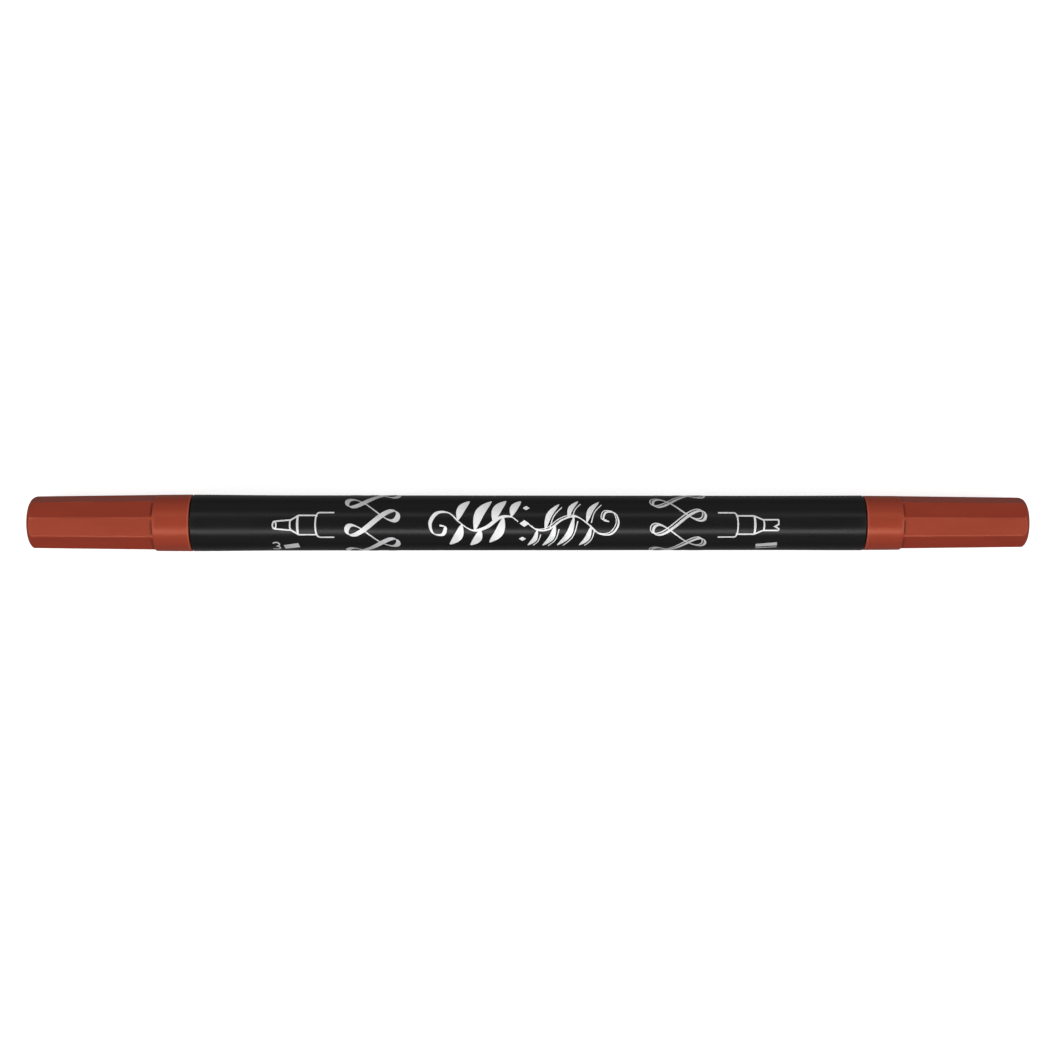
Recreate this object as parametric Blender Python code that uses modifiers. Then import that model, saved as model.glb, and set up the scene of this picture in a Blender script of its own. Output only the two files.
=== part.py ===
"""Double-ended calligraphy marker: a chisel nib at one end, a forked double-line nib at the other.

The origin is on the pen's axis, midway between its two ends. +X runs from the chisel end to the
twin end, and +Z is up when the pen lies with its printed front upwards. Each end's pieces are
modelled in their own local frame, whose +Z points out along the pen, away from the barrel, and
are then turned onto -X or +X. All lengths are in metres.
"""

import math

import bmesh
import bpy

# --- The pen's length, along X ---
PEN_LENGTH = 0.1616
BARREL_LENGTH = 0.1086
CAP_GAP = 0.0003  # the open joint between the barrel's end face and the cap's mouth
CAP_LENGTH = (PEN_LENGTH - BARREL_LENGTH) / 2 - CAP_GAP
BARREL_END = BARREL_LENGTH / 2

# --- Roundness ---
SIDES = 36  # sides of every turned piece
FACETS = 9  # flats milled round each cap
FIRST_ANGLE = math.pi / SIDES  # half a side, so that a flat of the turned pieces faces down
SHARP_ANGLE = math.radians(28)
SLACK = 0.001  # how far a cutter runs past what it cuts

# --- Barrel: a thin tube, tapering to the twin end and swollen where a nib holder is pressed in ---
BARREL_RADIUS = {"chisel": 0.00452, "twin": 0.00441}
BARREL_SWELL = {"chisel": 0.00009, "twin": 0.00005}
SWELL_LENGTH = 0.0150
SWELL_STEPS = 4
BARREL_EDGE = 0.00015  # chamfer round each end face
SEAT_RADIUS = 0.00375  # counterbore that takes a nib holder's plug
SEAT_DEPTH = 0.0122
BORE_RADIUS = 0.00355  # bore between the two counterbores, round the ink reservoir

# --- Cap shell: a round collar at the mouth, then nine flats that run out against the collar ---
MOUTH_RADIUS = {"chisel": 0.00462, "twin": 0.00442}
COLLAR_LENGTH = 0.0057
COLLAR_DRAFT = 0.00004  # how much smaller the collar is at its far edge than at the mouth
CAP_TAPER = 0.0123  # loss of radius for each metre of length, past the collar
CORNER_RADIUS = 0.0013  # round edge of the closed end
CORNER_STEPS = 5
LIP_EDGE = 0.00015
FACET_SHARE = 1.004  # the flats' corners stand this much outside the round form, which trims them
# One corner of the nine flats points to +Y, so a flat faces -Y.
MOUTH_BORE = 0.00372
RIDGE_BORE = 0.00362  # the snap ridge just inside the mouth
RIDGE_AT = (0.0007, 0.0009, 0.0012, 0.0014)
STEP_AT = 0.0083  # where the mouth's bore steps down to the bore that holds the inner cap
DEEP_BORE = 0.00342
DEEP_END = 0.0246

# --- Inner cap: the soft cup pressed into the shell, which seals on the nib holder's cone ---
INNER_CAP_RADIUS = 0.00335
INNER_CAP_BORE = 0.00295
INNER_CAP_START = 0.0092  # from the barrel's end face
INNER_CAP_FLARE = 0.0005
INNER_CAP_FLARE_BORE = 0.00312
INNER_CAP_FLOOR = 0.0220
INNER_CAP_END = 0.0226

# --- Nib holder: plug, snap bead, cylinder and cone, measured from the barrel's end face ---
PLUG_RADIUS = 0.00365
PLUG_DEPTH = 0.0120
PLUG_LEAD_IN = 0.0006
NECK_RADIUS = 0.00345
NECK_START = 0.0003
BEAD_RADIUS = 0.00356
BEAD_AT = (0.00155, 0.0018, 0.0020, 0.00225)
NECK_END = 0.0072
CONE_START_RADIUS = 0.00335
CONE_START = 0.0074
CONE_END_RADIUS = 0.00245
CONE_END = 0.0112
HOLDER_FRONT_RADIUS = 0.00232
HOLDER_FRONT = 0.0114
REAR_CAVITY_RADIUS = 0.0027
REAR_CAVITY_DEPTH = 0.0090
CHANNEL_GAP = 0.0001  # between the nib and its channel, on each side
VENT_WIDTH = 0.0008
VENT_DEPTH = 0.00045

# --- Nibs: flat bars of bonded fibre, width along Y and thickness along Z ---
NIB_TAIL = -0.0190
NIB_TIP = 0.0175
NIB_EDGE = 0.00025
NIB_EDGE_SHARE = 0.6  # the most of a thin tip's half thickness that its bevel takes
NIB_POINT = 0.0020  # length of the ground point that enters the reservoir
NIB_SIZE = {"chisel": (0.0036, 0.0020), "twin": (0.0036, 0.0016)}
CHISEL_WIDTH = 0.0030
CHISEL_THICKNESS = 0.0008
CHISEL_GRIND_START = 0.0118
CHISEL_SLANT = math.radians(14)
NOTCH_DEPTH = 0.0017
NOTCH_WIDTH = 0.0012
NOTCH_OFFSET = -0.00065  # towards the fine line's prong

# --- Ink reservoir: a fibre rod in a film wrap, with a pocket at each end for the nib's tail ---
RESERVOIR_RADIUS = 0.0032
RESERVOIR_LENGTH = 0.0830
POCKET_GAP = 0.0001
WRAP_RADIUS = 0.00345
WRAP_BORE = 0.0033
WRAP_LENGTH = 0.0836

ENDS = {"chisel": -1, "twin": 1}


def collection(name, hidden=False):
    """A new collection in the scene. A hidden one holds cutters and forms."""
    made = bpy.data.collections.new(name)
    bpy.context.scene.collection.children.link(made)
    made.hide_render = hidden
    return made


def material(name, colour, roughness, metallic=0.0):
    made = bpy.data.materials.new(name)
    made.use_nodes = True
    shader = made.node_tree.nodes["Principled BSDF"]
    shader.inputs["Base Color"].default_value = (*colour, 1)
    shader.inputs["Roughness"].default_value = roughness
    shader.inputs["Metallic"].default_value = metallic
    return made


def link(obj, home):
    """Moves an object into one collection."""
    for old in list(obj.users_collection):
        old.objects.unlink(obj)
    home.objects.link(obj)
    if home.hide_render:
        obj.hide_render = True
        obj.display_type = "WIRE"
    return obj


def turned(name, profile, home, closed=False):
    """Screws a profile of (radius, height) points round local Z. It runs down its outer side.

    An open profile starts and ends on the axis. A closed one goes round a wall.
    """
    mesh = bpy.data.meshes.new(name)
    points = [
        (radius * math.cos(FIRST_ANGLE), radius * math.sin(FIRST_ANGLE), height)
        for radius, height in profile
    ]
    edges = [(i, i + 1) for i in range(len(points) - 1)]
    if closed:
        edges.append((len(points) - 1, 0))
    mesh.from_pydata(points, edges, [])
    obj = bpy.data.objects.new(name, mesh)
    screw = obj.modifiers.new("Turn", "SCREW")
    screw.steps = screw.render_steps = SIDES
    screw.use_merge_vertices = True
    screw.merge_threshold = 1e-6
    screw.use_normal_calculate = False
    return link(obj, home)


def frustum(name, sides, start, end, home):
    """A straight-sided frustum round local Z between two (radius, height) places."""
    bpy.ops.mesh.primitive_cone_add(
        vertices=sides,
        radius1=start[0],
        radius2=end[0],
        depth=end[1] - start[1],
        location=(0, 0, (start[1] + end[1]) / 2),
    )
    obj = bpy.context.active_object
    obj.name = name
    return link(obj, home)


def block(name, low, high, home):
    """A box between two corners."""
    bpy.ops.mesh.primitive_cube_add(size=1, location=[(a + b) / 2 for a, b in zip(low, high)])
    obj = bpy.context.active_object
    obj.name = name
    obj.scale = [b - a for a, b in zip(low, high)]
    bpy.ops.object.transform_apply(location=False, rotation=False, scale=True)
    return link(obj, home)


def boolean(obj, operation, other):
    modifier = obj.modifiers.new(operation.title(), "BOOLEAN")
    modifier.operation = operation
    modifier.solver = "EXACT"
    modifier.object = other


def finish(obj, end, place, surface):
    """Bakes the modifiers, gives the piece its material and turns its local Z onto the pen's axis."""
    graph = bpy.context.evaluated_depsgraph_get()
    mesh = bpy.data.meshes.new_from_object(obj.evaluated_get(graph))
    obj.modifiers.clear()
    obj.data = mesh
    mesh.name = obj.name
    shape = bmesh.new()
    shape.from_mesh(mesh)
    bmesh.ops.remove_doubles(shape, verts=shape.verts, dist=1e-7)
    shape.to_mesh(mesh)
    shape.free()
    mesh.shade_smooth()
    mesh.set_sharp_from_angle(angle=SHARP_ANGLE)
    mesh.materials.clear()
    mesh.materials.append(surface)
    obj.rotation_euler = (0, end * math.pi / 2, 0)
    obj.location = (end * place, 0, 0)
    return obj


# --- Barrel ---


def barrel_radius(x):
    """Outer radius of the barrel at a place along the pen."""
    share = (x + BARREL_END) / BARREL_LENGTH
    taper = BARREL_RADIUS["twin"] - BARREL_RADIUS["chisel"]
    radius = BARREL_RADIUS["chisel"] + taper * share
    near = "chisel" if x < 0 else "twin"
    into_swell = max(0.0, abs(x) - (BARREL_END - SWELL_LENGTH)) / SWELL_LENGTH
    return radius + BARREL_SWELL[near] * into_swell**2 * (3 - 2 * into_swell)


def barrel_profile():
    """The barrel's wall, from the twin end's bore round the outside and back along the bore."""
    steps = [BARREL_END - SWELL_LENGTH * i / SWELL_STEPS for i in range(1, SWELL_STEPS + 1)]
    stations = steps + [0] + [-x for x in reversed(steps)]
    outside = [(barrel_radius(x), x) for x in stations]
    twin_end = barrel_radius(BARREL_END)
    chisel_end = barrel_radius(-BARREL_END)
    seat = BARREL_END - SEAT_DEPTH
    return [
        (SEAT_RADIUS, BARREL_END),
        (twin_end - BARREL_EDGE, BARREL_END),
        (twin_end, BARREL_END - BARREL_EDGE),
        *outside,
        (chisel_end, -BARREL_END + BARREL_EDGE),
        (chisel_end - BARREL_EDGE, -BARREL_END),
        (SEAT_RADIUS, -BARREL_END),
        (SEAT_RADIUS, -seat),
        (BORE_RADIUS, -seat),
        (BORE_RADIUS, seat),
        (SEAT_RADIUS, seat),
    ]


def make_barrel(home, surface):
    barrel = turned("barrel", barrel_profile(), home, closed=True)
    return finish(barrel, ENDS["twin"], 0, surface)


# --- Caps ---


def cap_radius(end_name, height):
    """Radius of the cap's round form, past the collar."""
    collar_end = MOUTH_RADIUS[end_name] - COLLAR_DRAFT
    return collar_end - CAP_TAPER * (height - COLLAR_LENGTH)


def corner_points(end_name):
    """The round edge of the closed end, from its flat face down to the cap's side."""
    corner_start = CAP_LENGTH - CORNER_RADIUS
    centre = cap_radius(end_name, corner_start) - CORNER_RADIUS
    points = []
    for i in range(CORNER_STEPS + 1):
        angle = math.pi / 2 * (1 - i / CORNER_STEPS)
        points.append(
            (
                centre + CORNER_RADIUS * math.cos(angle),
                corner_start + CORNER_RADIUS * math.sin(angle),
            )
        )
    return points


def make_cap_shell(end_name, home, forms, surface):
    """The outer cap: a turned blank, flattened by a nine-sided form, then bored from the mouth."""
    name = end_name + "_cap_shell"
    mouth = MOUTH_RADIUS[end_name]
    collar_end = mouth - COLLAR_DRAFT
    blank = turned(
        name,
        [
            (0, CAP_LENGTH),
            *corner_points(end_name),
            (collar_end, COLLAR_LENGTH),
            (mouth, LIP_EDGE),
            (mouth - LIP_EDGE, 0),
            (0, 0),
        ],
        home,
    )
    low, high = COLLAR_LENGTH - SLACK, CAP_LENGTH + SLACK
    flats = frustum(
        name + "_flats",
        FACETS,
        (cap_radius(end_name, low) * FACET_SHARE, low),
        (cap_radius(end_name, high) * FACET_SHARE, high),
        forms,
    )
    # The flats run out at 45 degrees against the collar, so this form keeps the collar whole.
    runout = turned(
        name + "_runout",
        [
            (0, COLLAR_LENGTH + collar_end - SLACK),
            (SLACK, COLLAR_LENGTH + collar_end - SLACK),
            (collar_end + SLACK, COLLAR_LENGTH - SLACK),
            (collar_end + SLACK, -SLACK),
            (0, -SLACK),
        ],
        forms,
    )
    boolean(flats, "UNION", runout)
    boolean(blank, "INTERSECT", flats)
    ridge_start, ridge_rise, ridge_fall, ridge_end = RIDGE_AT
    cavity = turned(
        name + "_cavity",
        [
            (0, DEEP_END),
            (DEEP_BORE, DEEP_END),
            (DEEP_BORE, STEP_AT + (MOUTH_BORE - DEEP_BORE)),
            (MOUTH_BORE, STEP_AT),
            (MOUTH_BORE, ridge_end),
            (RIDGE_BORE, ridge_fall),
            (RIDGE_BORE, ridge_rise),
            (MOUTH_BORE, ridge_start),
            (MOUTH_BORE, LIP_EDGE),
            (MOUTH_BORE + LIP_EDGE + SLACK, -SLACK),
            (0, -SLACK),
        ],
        forms,
    )
    boolean(blank, "DIFFERENCE", cavity)
    return finish(blank, ENDS[end_name], BARREL_END + CAP_GAP, surface)


def make_inner_cap(end_name, home, surface):
    """The soft cup inside the shell. Its flared mouth seals round the nib holder's cone."""
    cup = turned(
        end_name + "_inner_cap",
        [
            (0, INNER_CAP_END),
            (INNER_CAP_RADIUS - LIP_EDGE, INNER_CAP_END),
            (INNER_CAP_RADIUS, INNER_CAP_END - LIP_EDGE),
            (INNER_CAP_RADIUS, INNER_CAP_START),
            (INNER_CAP_FLARE_BORE, INNER_CAP_START),
            (INNER_CAP_BORE, INNER_CAP_START + INNER_CAP_FLARE),
            (INNER_CAP_BORE, INNER_CAP_FLOOR),
            (0, INNER_CAP_FLOOR),
        ],
        home,
    )
    return finish(cup, ENDS[end_name], BARREL_END, surface)


# --- Nib holders ---


def make_nib_holder(end_name, home, forms, surface):
    """The moulding pressed into the barrel's end, with a flat channel right through for the nib."""
    name = end_name + "_nib_holder"
    bead_start, bead_rise, bead_fall, bead_end = BEAD_AT
    holder = turned(
        name,
        [
            (0, HOLDER_FRONT),
            (HOLDER_FRONT_RADIUS, HOLDER_FRONT),
            (CONE_END_RADIUS, CONE_END),
            (CONE_START_RADIUS, CONE_START),
            (NECK_RADIUS, NECK_END),
            (NECK_RADIUS, bead_end),
            (BEAD_RADIUS, bead_fall),
            (BEAD_RADIUS, bead_rise),
            (NECK_RADIUS, bead_start),
            (NECK_RADIUS, NECK_START),
            (PLUG_RADIUS, NECK_START - (PLUG_RADIUS - NECK_RADIUS)),
            (PLUG_RADIUS, -PLUG_DEPTH + PLUG_LEAD_IN),
            (NECK_RADIUS, -PLUG_DEPTH),
            (REAR_CAVITY_RADIUS, -PLUG_DEPTH),
            (REAR_CAVITY_RADIUS, -PLUG_DEPTH + REAR_CAVITY_DEPTH),
            (0, -PLUG_DEPTH + REAR_CAVITY_DEPTH),
        ],
        home,
    )
    width, thickness = NIB_SIZE[end_name]
    half_width, half_thickness = width / 2 + CHANNEL_GAP, thickness / 2 + CHANNEL_GAP
    low, high = -PLUG_DEPTH + REAR_CAVITY_DEPTH - SLACK, HOLDER_FRONT + SLACK
    channel = block(
        name + "_channel",
        (-half_thickness, -half_width, low),
        (half_thickness, half_width, high),
        forms,
    )
    # Two grooves on the channel's broad sides let air past the nib as ink is drawn.
    vent = block(
        name + "_vent",
        (-half_thickness - VENT_DEPTH, -VENT_WIDTH / 2, low),
        (half_thickness + VENT_DEPTH, VENT_WIDTH / 2, high),
        forms,
    )
    boolean(channel, "UNION", vent)
    boolean(holder, "DIFFERENCE", channel)
    return finish(holder, ENDS[end_name], BARREL_END, surface)


# --- Nibs ---


def nib_section(half_width, half_thickness, height, skew=0.0):
    """One bevelled rectangle across a nib. Skew raises its +Y side and lowers its -Y side."""
    edge = min(NIB_EDGE, NIB_EDGE_SHARE * half_thickness)
    corners = [
        (half_thickness, half_width - edge),
        (half_thickness - edge, half_width),
        (-half_thickness + edge, half_width),
        (-half_thickness, half_width - edge),
        (-half_thickness, -half_width + edge),
        (-half_thickness + edge, -half_width),
        (half_thickness - edge, -half_width),
        (half_thickness, -half_width + edge),
    ]
    return [(x, y, height + skew * y) for x, y in corners]


def loft(name, sections, home):
    """Joins sections of equal count, from the rear to the front, and closes both ends."""
    shape = bmesh.new()
    rings = [[shape.verts.new(point) for point in section] for section in sections]
    for ring, following in zip(rings, rings[1:]):
        for i, vert in enumerate(ring):
            after = (i + 1) % len(ring)
            shape.faces.new((vert, ring[after], following[after], following[i]))
    shape.faces.new(reversed(rings[0]))
    shape.faces.new(rings[-1])
    mesh = bpy.data.meshes.new(name)
    shape.to_mesh(mesh)
    shape.free()
    obj = bpy.data.objects.new(name, mesh)
    return link(obj, home)


def nib_tail(width, thickness):
    """The two rear sections of a nib: the blunt point, and the full bar in front of it."""
    return [
        nib_section(width / 4, thickness / 4, NIB_TAIL),
        nib_section(width / 2, thickness / 2, NIB_TAIL + NIB_POINT),
    ]


def make_chisel_nib(home, surface):
    """A bar ground on both faces and both sides to a broad slanted edge."""
    width, thickness = NIB_SIZE["chisel"]
    slant = math.tan(CHISEL_SLANT)
    tip = NIB_TIP - slant * CHISEL_WIDTH / 2
    nib = loft(
        "chisel_nib",
        [
            *nib_tail(width, thickness),
            nib_section(width / 2, thickness / 2, CHISEL_GRIND_START),
            nib_section(CHISEL_WIDTH / 2, CHISEL_THICKNESS / 2, tip, slant),
        ],
        home,
    )
    return finish(nib, ENDS["chisel"], BARREL_END, surface)


def make_twin_nib(home, forms, surface):
    """A straight bar whose tip is notched into one broad and one fine prong."""
    width, thickness = NIB_SIZE["twin"]
    nib = loft(
        "twin_nib",
        [
            *nib_tail(width, thickness),
            nib_section(width / 2, thickness / 2, NIB_TIP - NIB_EDGE),
            nib_section(width / 2 - NIB_EDGE / 2, thickness / 2 - NIB_EDGE, NIB_TIP),
        ],
        home,
    )
    # A three-sided prism across the bar: its point is the notch's root.
    spread = NOTCH_WIDTH / 2 / NOTCH_DEPTH
    root, mouth = NIB_TIP - NOTCH_DEPTH, NIB_TIP + SLACK
    half_mouth = spread * (mouth - root)
    outline = [
        (NOTCH_OFFSET, root),
        (NOTCH_OFFSET + half_mouth, mouth),
        (NOTCH_OFFSET - half_mouth, mouth),
    ]
    notch = loft(
        "twin_nib_notch",
        [[(x, y, z) for y, z in outline] for x in (-thickness, thickness)],
        forms,
    )
    boolean(nib, "DIFFERENCE", notch)
    return finish(nib, ENDS["twin"], BARREL_END, surface)


# --- Ink reservoir ---


def make_reservoir(home, forms, surface):
    """A fibre rod, pocketed at each end where the nib's tail presses into it."""
    half = RESERVOIR_LENGTH / 2
    rod = turned(
        "ink_reservoir",
        [(0, half), (RESERVOIR_RADIUS, half), (RESERVOIR_RADIUS, -half), (0, -half)],
        home,
    )
    for end_name, end in ENDS.items():
        width, thickness = NIB_SIZE[end_name]
        tail = BARREL_END + NIB_TAIL - CHANNEL_GAP
        low, high = sorted((end * tail, end * (half + SLACK)))
        pocket = block(
            end_name + "_pocket",
            (-thickness / 2 - POCKET_GAP, -width / 2 - POCKET_GAP, low),
            (thickness / 2 + POCKET_GAP, width / 2 + POCKET_GAP, high),
            forms,
        )
        boolean(rod, "DIFFERENCE", pocket)
    return finish(rod, ENDS["twin"], 0, surface)


def make_wrap(home, surface):
    """The clear film sleeve that holds the reservoir's fibres together."""
    half = WRAP_LENGTH / 2
    wrap = turned(
        "reservoir_wrap",
        [(WRAP_BORE, half), (WRAP_RADIUS, half), (WRAP_RADIUS, -half), (WRAP_BORE, -half)],
        home,
        closed=True,
    )
    return finish(wrap, ENDS["twin"], 0, surface)


def main():
    for obj in list(bpy.data.objects):
        bpy.data.objects.remove(obj, do_unlink=True)
    home = collection("calligraphy_marker")
    forms = collection("cutters", hidden=True)
    cap_plastic = material("cap_plastic", (0.34, 0.082, 0.04), 0.42)
    barrel_plastic = material("barrel_plastic", (0.012, 0.011, 0.012), 0.3)
    holder_plastic = material("holder_plastic", (0.02, 0.019, 0.02), 0.35)
    inner_cap_plastic = material("inner_cap_plastic", (0.72, 0.71, 0.66), 0.45)
    nib_fibre = material("nib_fibre", (0.22, 0.055, 0.03), 0.85)
    reservoir_fibre = material("reservoir_fibre", (0.3, 0.08, 0.045), 0.95)
    wrap_film = material("wrap_film", (0.78, 0.8, 0.8), 0.15)

    make_barrel(home, barrel_plastic)
    make_reservoir(home, forms, reservoir_fibre)
    make_wrap(home, wrap_film)
    make_chisel_nib(home, nib_fibre)
    make_twin_nib(home, forms, nib_fibre)
    for end_name in ENDS:
        make_nib_holder(end_name, home, forms, holder_plastic)
        make_inner_cap(end_name, home, inner_cap_plastic)
        make_cap_shell(end_name, home, forms, cap_plastic)


main()
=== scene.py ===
import math

import bpy
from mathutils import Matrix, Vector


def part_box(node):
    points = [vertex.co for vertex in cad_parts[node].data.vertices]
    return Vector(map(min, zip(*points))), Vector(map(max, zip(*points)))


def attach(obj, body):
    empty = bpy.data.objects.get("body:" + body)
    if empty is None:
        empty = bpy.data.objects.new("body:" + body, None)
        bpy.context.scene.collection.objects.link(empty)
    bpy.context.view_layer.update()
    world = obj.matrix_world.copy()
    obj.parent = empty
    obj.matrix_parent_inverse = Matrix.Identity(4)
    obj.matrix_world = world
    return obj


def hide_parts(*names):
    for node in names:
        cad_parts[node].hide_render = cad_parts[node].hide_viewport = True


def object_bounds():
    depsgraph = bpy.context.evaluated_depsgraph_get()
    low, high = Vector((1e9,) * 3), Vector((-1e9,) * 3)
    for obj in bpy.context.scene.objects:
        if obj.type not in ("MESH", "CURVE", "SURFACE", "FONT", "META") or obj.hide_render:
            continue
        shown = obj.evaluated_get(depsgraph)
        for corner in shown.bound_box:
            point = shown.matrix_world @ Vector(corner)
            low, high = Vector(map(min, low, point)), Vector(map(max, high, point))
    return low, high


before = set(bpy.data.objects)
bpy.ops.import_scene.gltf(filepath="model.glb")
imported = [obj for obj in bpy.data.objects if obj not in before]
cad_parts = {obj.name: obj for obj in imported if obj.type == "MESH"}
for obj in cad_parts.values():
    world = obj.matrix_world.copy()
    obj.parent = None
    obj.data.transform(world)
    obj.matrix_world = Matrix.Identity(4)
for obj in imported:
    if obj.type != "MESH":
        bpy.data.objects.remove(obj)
cad_low, cad_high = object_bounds()
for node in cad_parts.values():
    node.select_set(False)

# ---------------------------------------------------------------------------------------------
# Studio. The marker lies on a plain, faintly lit white table, under the camera. One long soft strip
# leans over its lower side and a dimmer one over its upper side, and two broad panels past the
# pen's ends light it evenly without showing in its round side. The room is pale above the table
# and dimmer below it, so the pen's outline stays dark, and the table is left out of its reflections.
# ---------------------------------------------------------------------------------------------
CAMERA_HEIGHT = 0.3009
CAMERA_OFFSET = (-0.00049, -0.00034)
CAMERA_LENS = 63.4
TABLE_SIZE = 6.0
TABLE_WHITE = (0.82, 0.82, 0.82, 1)
TABLE_GLOW = 0.6
ROOM_ABOVE, ROOM_BELOW = 0.38, 0.21
HORIZON_BLUR = 0.15

scene = bpy.context.scene
scene.view_settings.view_transform = "Standard"

camera_data = bpy.data.cameras.new("camera")
camera_data.lens = CAMERA_LENS
camera_data.sensor_width = 36
camera_data.clip_start = 0.01
camera = bpy.data.objects.new("camera", camera_data)
camera.location = (*CAMERA_OFFSET, CAMERA_HEIGHT)
scene.collection.objects.link(camera)
scene.camera = camera

room = bpy.data.worlds.new("room")
room.use_nodes = True
room_nodes = room.node_tree.nodes
heading = room_nodes.new("ShaderNodeSeparateXYZ")
shade = room_nodes.new("ShaderNodeMapRange")
shade.interpolation_type = "SMOOTHSTEP"
for socket, value in (
    ("From Min", -HORIZON_BLUR), ("From Max", HORIZON_BLUR), ("To Min", ROOM_BELOW), ("To Max", ROOM_ABOVE)
):
    shade.inputs[socket].default_value = value
room.node_tree.links.new(room_nodes.new("ShaderNodeTexCoord").outputs["Generated"], heading.inputs[0])
room.node_tree.links.new(heading.outputs["Z"], shade.inputs["Value"])
room.node_tree.links.new(shade.outputs["Result"], room_nodes["Background"].inputs["Strength"])
room_nodes["Background"].inputs["Color"].default_value = (1, 1, 1, 1)
scene.world = room


def panel(name, size, distance, tilt, turn, power):
    """An area light over the pen's middle, tilted from straight up towards a compass turn."""
    light = bpy.data.lights.new(name, "AREA")
    light.shape = "RECTANGLE"
    light.size, light.size_y = size
    light.energy = power
    holder = bpy.data.objects.new(name, light)
    tilt, turn = math.radians(tilt), math.radians(turn)
    holder.rotation_euler = (tilt, 0, turn)
    holder.location = (
        distance * math.sin(tilt) * math.sin(turn),
        -distance * math.sin(tilt) * math.cos(turn),
        distance * math.cos(tilt),
    )
    scene.collection.objects.link(holder)


panel("front_strip", (1.6, 0.16), 0.7, 36.5, 0, 3.0)
panel("back_strip", (1.6, 0.16), 0.7, 34, 180, 0.66)
panel("left_panel", (0.9, 0.9), 1.2, 50, -90, 3.0)
panel("right_panel", (0.9, 0.9), 1.2, 50, 90, 3.0)

bpy.ops.mesh.primitive_plane_add(size=TABLE_SIZE, location=(0, 0, cad_low.z))
table = bpy.context.active_object
table.name = "table"
table_white = bpy.data.materials.new("table_white")
table_white.use_nodes = True
table_shader = table_white.node_tree.nodes["Principled BSDF"]
table_shader.inputs["Base Color"].default_value = TABLE_WHITE
table_shader.inputs["Roughness"].default_value = 0.9
table_shader.inputs["Specular IOR Level"].default_value = 0.1
table_shader.inputs["Emission Color"].default_value = (1, 1, 1, 1)
table_shader.inputs["Emission Strength"].default_value = TABLE_GLOW
table.data.materials.append(table_white)
table.visible_diffuse = table.visible_glossy = False

# ---------------------------------------------------------------------------------------------
# Barrel. A thin tube of black polypropylene, moulded round a long core, so it tapers slightly
# towards the twin end. Each end is swollen where a nib holder is pressed into its counterbore.
# ---------------------------------------------------------------------------------------------
BARREL_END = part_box("barrel")[1].x
BARREL_RADIUS = {"chisel": 0.00452, "twin": 0.00441}
BARREL_SWELL = {"chisel": 0.00009, "twin": 0.00005}
SWELL_LENGTH = 0.0150
BARREL_EDGE = 0.00012
SEAT_RADIUS, SEAT_DEPTH = 0.00375, 0.0122
BORE_RADIUS = 0.00355
ENDS = {"chisel": -1, "twin": 1}
ROUND_SIDES = 360
WELD = 1e-7


def spun(name, outline, sides=ROUND_SIDES):
    """Draws half a section as a chain of edges through (x, radius) points and spins it round X."""
    bpy.ops.object.select_all(action="DESELECT")
    bpy.ops.mesh.primitive_plane_add(size=0.001, enter_editmode=True)
    piece = bpy.context.active_object
    piece.name = piece.data.name = name
    bpy.ops.mesh.merge(type="CENTER")
    bpy.ops.transform.translate(value=(outline[0][0], 0, outline[0][1]))
    for (x, radius), (next_x, next_radius) in zip(outline, outline[1:]):
        step = (next_x - x, 0, next_radius - radius)
        bpy.ops.mesh.extrude_region_move(TRANSFORM_OT_translate={"value": step})
    bpy.ops.mesh.select_all(action="SELECT")
    bpy.ops.mesh.spin(steps=sides, angle=math.tau, center=(0, 0, 0), axis=(1, 0, 0))
    bpy.ops.mesh.select_all(action="SELECT")
    bpy.ops.mesh.remove_doubles(threshold=WELD)
    bpy.ops.mesh.normals_make_consistent(inside=False)
    bpy.ops.object.mode_set(mode="OBJECT")
    return piece


def smooth(piece, angle=30):
    """Rounds the shading over every edge that is blunter than an angle in degrees."""
    bpy.ops.object.select_all(action="DESELECT")
    piece.select_set(True)
    bpy.context.view_layer.objects.active = piece
    bpy.ops.object.shade_smooth_by_angle(angle=math.radians(angle))


def fit(piece, finish, body, slot, *nodes):
    """Gives a finished piece its material and its place in the frame."""
    piece.data.materials.clear()
    piece.data.materials.append(finish)
    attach(piece, body)
    if nodes:
        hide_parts(*nodes)


def fillet(x, radius, size, start, end, steps=4):
    """Points of a round corner about (x, radius), between two angles in degrees from +X."""
    angles = [math.radians(start + (end - start) * i / steps) for i in range(steps + 1)]
    return [(x + size * math.cos(a), radius + size * math.sin(a)) for a in angles]


def barrel_radius(x):
    share = (x + BARREL_END) / (2 * BARREL_END)
    radius = BARREL_RADIUS["chisel"] + (BARREL_RADIUS["twin"] - BARREL_RADIUS["chisel"]) * share
    near = "chisel" if x < 0 else "twin"
    into_swell = max(0.0, abs(x) - (BARREL_END - SWELL_LENGTH)) / SWELL_LENGTH
    return radius + BARREL_SWELL[near] * into_swell**2 * (3 - 2 * into_swell)


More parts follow.
